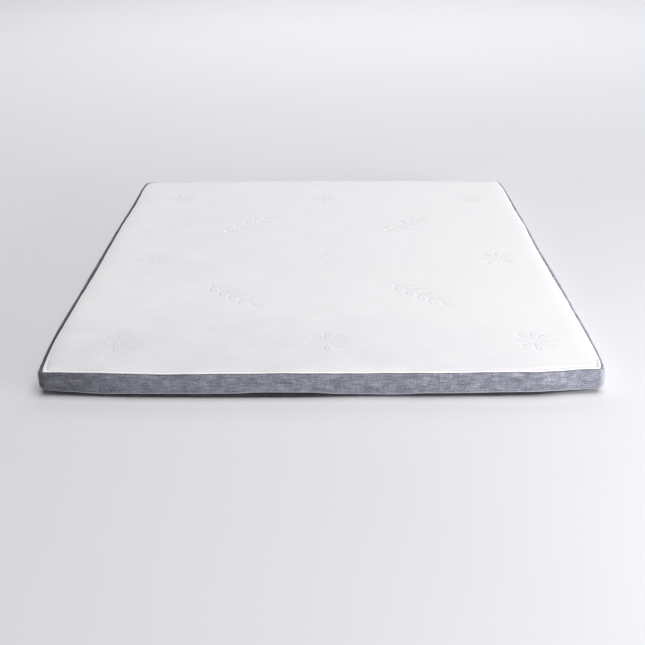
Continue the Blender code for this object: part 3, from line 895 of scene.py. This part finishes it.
# Soft ridges and troughs pressed into the cloth along the front: size, width, run of (x, height).
frontCreases = [
    (0.0014, 0.0024, [(-0.31, 0.0600), (0.05, 0.0605), (0.30, 0.0670), (0.44, 0.0740)]),
    (0.0010, 0.0022, [(-0.90, 0.0690), (-0.60, 0.0700), (-0.48, 0.0740)]),
    (-0.0005, 0.0030, [(0.30, 0.0460), (0.62, 0.0500), (0.88, 0.0570)]),
    (-0.0004, 0.0040, [(-0.70, 0.0330), (-0.35, 0.0380), (0.00, 0.0340)]),
]
creaseFade = 0.08  # how far from its ends a crease has its full size


def tuck(height):
    shape = borderShape
    return shape["tuck"] * max(0.0, 1 - height / shape["tuckHeight"]) ** 2


def creased(station, height):
    # How far the creases push the front outwards here.
    out = 0.0
    if not station.onFront:
        return out
    x = station.point.x
    for size, width, run in frontCreases:
        if run[0][0] < x < run[-1][0]:
            fade = min(x - run[0][0], run[-1][0] - x) / creaseFade
            away = (height - along(run, x)) / width
            out += size * (1 - ease(fade)) * math.exp(-away * away)
    return out


def puffed(station, height):
    # How far the cloth stands out from the plain wall: foam behind it, puckers under the seam.
    shape = borderShape
    x, y = station.point
    up = min(max((height - station.hem) / (shape["puffTop"] - station.hem), 0.0), 1.0)
    mean, change, over = shape["bulgeWaver"]
    out = shape["bulge"] * math.sin(math.pi * up) * (mean + change * wander(x, y, 0.0, over, 5.0))
    for size, length, squat, low, soon, seed in shape["puckers"]:
        pucker = size * wander(x, y, height * squat, length, seed)
        out += pucker * (low + (1 - low) * up) * min(1.0, soon * up)
    out += station.plump * math.sin(math.pi * up)
    return out + creased(station, height)


def borderSection(station):
    shape = borderShape
    top = shape["roll"][-1][1]
    seamFrom, seamOver = shape["seamBlend"]
    puffFrom, puffOver = shape["puffBlend"]
    right = max(-station.inward.x, 0.0) ** 2
    back = max(-station.inward.y, 0.0) ** 2
    shares = (1 - right - back, right, back)
    rolled = []
    for rolls in zip(shape["roll"], shape["rightRoll"], shape["backRoll"]):
        inset, height = (sum(w * v for w, v in zip(shares, column)) for column in zip(*rolls))
        lifted = station.rise * (1 - ease((height - top) / shape["riseFades"]))
        seam = station.seam * (1 - ease((inset - seamFrom) / seamOver))
        rolled.append((inset + seam, height + lifted))
    section = []
    for inset, height in smoothThrough(rolled, shape["rollSteps"]):
        fullness = ease((inset - puffFrom) / puffOver)
        section.append(at(station, inset - puffed(station, height) * fullness, height))
    for step in range(1, shape["wallSteps"] + 1):
        height = top + (station.hem - top) * step / shape["wallSteps"]
        section.append(at(station, tuck(height) - puffed(station, height), height))
    foot = tuck(station.hem)
    for inset, rise in shape["hemFold"]:
        section.append(at(station, foot + inset, station.hem + rise))
    for rise in shape["hemTurn"]:
        height = station.hem + rise
        section.append(at(station, tuck(height) + shape["hemFold"][-1][0], height))
    return section


def borderMarks(sections):
    # For each point, how much painted shade it takes, in the seam's groove and towards the left end,
    # and how much painted highlight on the hem's fold.
    shape = borderShape
    paintedShades, folds = [], []
    hem = (len(shape["roll"]) - 1) * shape["rollSteps"] + shape["wallSteps"]
    above, on = shape["foldMarks"]
    marks = {hem - 1: above} | {hem + i: on for i in range(len(shape["hemFold"]) + 1)}
    reach, whole = shape["paintedShadeTurn"]
    for station, section in zip(stations, sections):
        front = ease((station.point.y + halfLength) / reach - whole)
        right = 0.5 + 0.5 * station.point.x / halfWidth
        shares = [side * way for way in (1 - front, front) for side in (1 - right, right)]
        dark, end = (sum(w * v for w, v in zip(shares, column)) for column in zip(*shape["paintedShade"]))
        # Painted shade towards the left end, where less light falls.
        fromLeft = station.point.x + halfWidth
        shade = shape["leftEndPaintedShade"] * ease(fromLeft / shape["endReach"])
        for i, down in enumerate(lengthsAlong(section)):
            paintedShades.append(max(dark * ease(2 * down / end - 1), shade))
            folds.append(marks.get(i, 0.0))
    return paintedShades, folds


borderSections = [borderSection(station) for station in stations]
border = makeStrip("melange_border", borderSections, True, melange)
# Painted shade in the seam's groove and at the left end; painted highlight on the hem's fold.
for name, values in zip(("paintedShade", "hemFold"), borderMarks(borderSections)):
    markPoints(border, name, values)
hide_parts("border")
print("Border:", len(border.data.polygons), "faces")

# The row of stitches that holds the hem to the zip's tape.

stitchShape = {
    "length": 0.0034,
    "gap": 0.0012,
    "radius": 0.00032,
    "aboveHem": 0.0034,
    "sides": 5,
    "bends": (0.0, 0.15, 0.5, 0.85, 1.0),  # places along a stitch, of which both ends dive
    "dive": 0.0005,
    "proud": 0.0001,  # how far off the cloth it lies
    "endGap": 0.03,
}


def walkFront(run, inset, height):
    # The way along this run of stations at this inset and height: a function from a distance to
    # the point there, and the length of the whole.
    path = [at(s, inset(s), height(s)) for s in run]
    marks = lengthsAlong(path)

    def place(distance):
        distance = min(max(distance, 0.0), marks[-1])
        low, high = 0, len(marks) - 1
        while high - low > 1:
            middle = (low + high) // 2
            if marks[middle] <= distance:
                low = middle
            else:
                high = middle
        share = (distance - marks[low]) / (marks[high] - marks[low])
        return path[low].lerp(path[high], share)

    return place, marks[-1]


def makeStitches():
    shape = stitchShape

    def height(station):
        return station.hem + shape["aboveHem"]

    def inset(station):
        return tuck(height(station)) - puffed(station, height(station)) - shape["proud"]

    place, whole = walkFront(frontStations, inset, height)
    points, faces = [], []
    distance = shape["endGap"]
    while distance < whole - shape["endGap"]:
        path = []
        for share in shape["bends"]:
            sunk = shape["dive"] if share in (0.0, 1.0) else 0.0
            path.append(place(distance + share * shape["length"]) + Vector((0, sunk, 0)))
        makeTube(path, shape["radius"], shape["sides"], points, faces)
        distance += shape["length"] + shape["gap"]
    return points, faces


stitchPoints, stitchFaces = makeStitches()
stitches = makePiece("hem_stitches", stitchPoints, stitchFaces, threadGrey)
print("Hem stitches:", len(stitches.data.polygons), "faces")

# The zip under the front hem.

zipShape = {
    "run": (-0.852, 0.846),
    # Depth behind the hem's foot, share of the hem's height, height above that.
    "tape": [
        (0.0030, 1.0, 0.0050), (0.0031, 1.0, 0.0025), (0.0034, 1.0, 0.0000),
        (0.0036, 0.75, 0.0002), (0.0040, 0.50, 0.0004), (0.0045, 0.25, 0.0007),
        (0.0052, 0.0, 0.0014),
    ],
    "tapeSteps": 3,
    "coil": (0.0030, 0.46, 0.0004),  # the same three for the middle line of the coil
    "coilLean": 0.15,  # how much its upper side leans out
    "coilSlant": 0.12,  # and each turn along the zip
    "pitch": 0.0084,  # coarser than a real 3 mm coil, so that its turns show
    "reach": 0.0030,  # from the middle line to the outside of a turn
    "past": 0.0014,  # how far a turn hooks past the middle line
    "wire": 0.00070,
    "wireSides": 6,
    "depth": 0.0012,
    # One turn, from its outside to its hook: shares of the reach, of the hook and of the depth.
    "turn": [(1, 0, 0), (1, 0, 0.7), (0.5, 0, 1), (0, 0, 1.1), (0, 1, 0.9), (0, 1.3, 0.3)],
    "endGap": 0.005,
}
zipStations = [s for s in frontStations if zipShape["run"][0] < s.point.x < zipShape["run"][1]]


def zipPlace(station, spot):
    deep, share, above = spot
    height = share * station.hem + above
    return tuck(max(station.hem, height)) + deep, height


def zipStrip():
    strip = []
    for station in zipStations:
        spots = [zipPlace(station, spot) for spot in zipShape["tape"]]
        strip.append([at(station, *spot) for spot in smoothThrough(spots, zipShape["tapeSteps"])])
    return strip


def makeCoil():
    shape = zipShape
    place, whole = walkFront(
        zipStations,
        lambda station: zipPlace(station, shape["coil"])[0],
        lambda station: zipPlace(station, shape["coil"])[1],
    )
    points, faces = [], []
    for i in range(int((whole - 2 * shape["endGap"]) / shape["pitch"] * 2)):
        distance = shape["endGap"] + i * shape["pitch"] / 2
        up = 1 if i % 2 else -1
        path = []
        for reach, past, deep in shape["turn"]:
            rise = reach * shape["reach"] - past * shape["past"]
            out = deep * shape["depth"]
            spot = place(distance + up * rise * shape["coilSlant"])
            path.append(spot + Vector((0, -out - up * rise * shape["coilLean"], up * rise)))
        makeTube(path, shape["wire"], shape["wireSides"], points, faces)
    return points, faces


zipTape = makeStrip("zip_tape_cloth", zipStrip(), False, zipCloth)
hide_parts("zip_tape")
coilPoints, coilFaces = makeCoil()
zipCoil = makePiece("zip_coil_turns", coilPoints, coilFaces, zipNylon)
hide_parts("zip_coil")
print("Zip:", len(zipCoil.data.polygons), "faces in the coil")

# The bottom panel.

bottomShape = {
    "rim": [(0.0098, 0.0026), (0.0118, 0.0007), (0.0140, 0.0002), (0.0160, 0.0), (0.0240, 0.0)],
    "grid": 0.05,
    "gridSteps": (16, 18),  # to each side of the middle, and towards the front and the back
}


def makeBottom():
    points = []
    rim = bottomShape["rim"]
    rows = addRows(points, [[at(station, *spot) for spot in rim] for station in stations[::2]])
    faces = gridFaces(rows, True)
    step = bottomShape["grid"]
    sideways, lengthways = bottomShape["gridSteps"]
    inner = []
    for i in range(-sideways, sideways + 1):
        for j in range(-lengthways, lengthways + 1):
            inner.append(settled(i * step, j * step, 0.0))
    loop = [row[-1] for row in rows]
    filled = fillInside(points, loop, inner, [], lambda x, y: settled(x, y, 0.0).z)
    faces += [tuple(reversed(face)) for face in filled]
    return points, faces


bottomPoints, bottomFaces = makeBottom()
bottom = makePiece("bottom_cloth_panel", bottomPoints, bottomFaces, bottomCloth)
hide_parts("bottom_panel")
print("Bottom panel:", len(bottom.data.polygons), "faces")

# Floor, light and camera.

studio = {
    "floorColour": "#DCDCE0",
    "floorCloud": "#D8D8DC",
    "floorHalf": 30.0,
    "floorDrop": 0.0008,  # below the cloth, so that the two don't flicker
    "room": "#F2F4F8",
    "roomStrength": 0.05,
    "roomSeen": 0.9,
    "softLights": [  # name, place, aim, width, height, power, colour
        ("window light", (3.4, -1.7, 0.4), (0.2, -0.9, 0.05), 1.2, 0.8, 112, "#FFFDFA"),
        ("front light", (2.6, -3.2, 0.45), (0.2, -0.9, 0.05), 1.2, 0.8, 72, "#FFFFFF"),
        ("back light", (1.2, 6.5, 5.0), (1.2, 6.0, 0.0), 9.0, 6.0, 230, "#FFFFFF"),
    ],
    "ceiling": 2.36,
    "ceilingSpread": 52.0,  # degrees across
    "ceilingTilt": (3.0, 10.0),  # degrees: from the front, and from the right
    "lens": 52.94,
    "cameraPlace": (0.0219, -3.5693, 1.5120),
    "cameraPitch": 25.921,  # degrees below the horizon
    "cameraYaw": 0.370,
    "cameraRoll": -0.440,
}


def makeFloor():
    # Matt paint on a smooth floor: pale and even, with faint clouds.
    material, tree, shader = newMaterial("Pale matt painted floor", 0.7)
    place = addNode(tree, "TexCoord").outputs["Object"]
    clouds = addNode(tree, "TexNoise", {"Scale": 1.3, "Detail": 4.0}, {"Vector": place})
    tones = {6: hexColour(studio["floorColour"]), 7: hexColour(studio["floorCloud"])}
    mixed = addNode(tree, "Mix", tones, {"Factor": clouds.outputs["Fac"]}, data_type="RGBA")
    tree.links.new(mixed.outputs[2], shader.inputs["Base Color"])
    mesh = bpy.data.meshes.new("floor")
    half = studio["floorHalf"]
    square = [(-half, -half, 0), (half, -half, 0), (half, half, 0), (-half, half, 0)]
    mesh.from_pydata(square, [], [(0, 1, 2, 3)])
    mesh.materials.append(material)
    floor = addObject("floor", mesh)
    floor.location.z = -studio["floorDrop"]


def addSoftLight(name, place, aim, width, height, power, colour):
    light = bpy.data.lights.new(name, "AREA")
    light.shape = "RECTANGLE"
    light.size = width
    light.size_y = height
    light.energy = power
    light.color = hexColour(colour)[:3]
    lamp = addObject(name, light)
    lamp.location = place
    lamp.rotation_euler = (Vector(aim) - Vector(place)).to_track_quat("-Z", "Y").to_euler()
    lamp.visible_camera = False


def addOverheadLight():
    # A wide even light from the ceiling, which reaches the whole floor alike.
    light = bpy.data.lights.new("ceiling light", "SUN")
    light.energy = studio["ceiling"]
    light.angle = math.radians(studio["ceilingSpread"])
    lamp = addObject("ceiling light", light)
    lamp.rotation_euler = [math.radians(turn) for turn in (*studio["ceilingTilt"], 0.0)]


def makeWorld():
    # The room round the set: dim where it lights the cloth, pale where the camera sees it.
    world = bpy.data.worlds.new("studio")
    world.use_nodes = True
    tree = world.node_tree
    room = tree.nodes["Background"]
    room.inputs["Color"].default_value = hexColour(studio["room"])
    room.inputs["Strength"].default_value = studio["roomStrength"]
    look = {"Color": hexColour(studio["room"]), "Strength": studio["roomSeen"]}
    seen = addNode(tree, "Background", look)
    path = addNode(tree, "LightPath")
    feeds = {0: path.outputs["Is Camera Ray"], 1: room.outputs[0], 2: seen.outputs[0]}
    mixed = addNode(tree, "MixShader", links=feeds)
    tree.links.new(mixed.outputs[0], tree.nodes["World Output"].inputs["Surface"])
    bpy.context.scene.world = world


def makeCamera():
    data = bpy.data.cameras.new("camera")
    data.lens = studio["lens"]
    data.sensor_width = 36.0
    data.clip_end = 100.0
    camera = addObject("camera", data)
    camera.matrix_world = (
        Matrix.Translation(studio["cameraPlace"])
        @ Matrix.Rotation(math.radians(studio["cameraYaw"]), 4, "Z")
        @ Matrix.Rotation(math.radians(90 - studio["cameraPitch"]), 4, "X")
        @ Matrix.Rotation(math.radians(studio["cameraRoll"]), 4, "Z")
    )
    bpy.context.scene.camera = camera


makeFloor()
for light in studio["softLights"]:
    addSoftLight(*light)
addOverheadLight()
makeCamera()
makeWorld()
bpy.context.scene.view_settings.view_transform = "Standard"
print("Light and camera set")
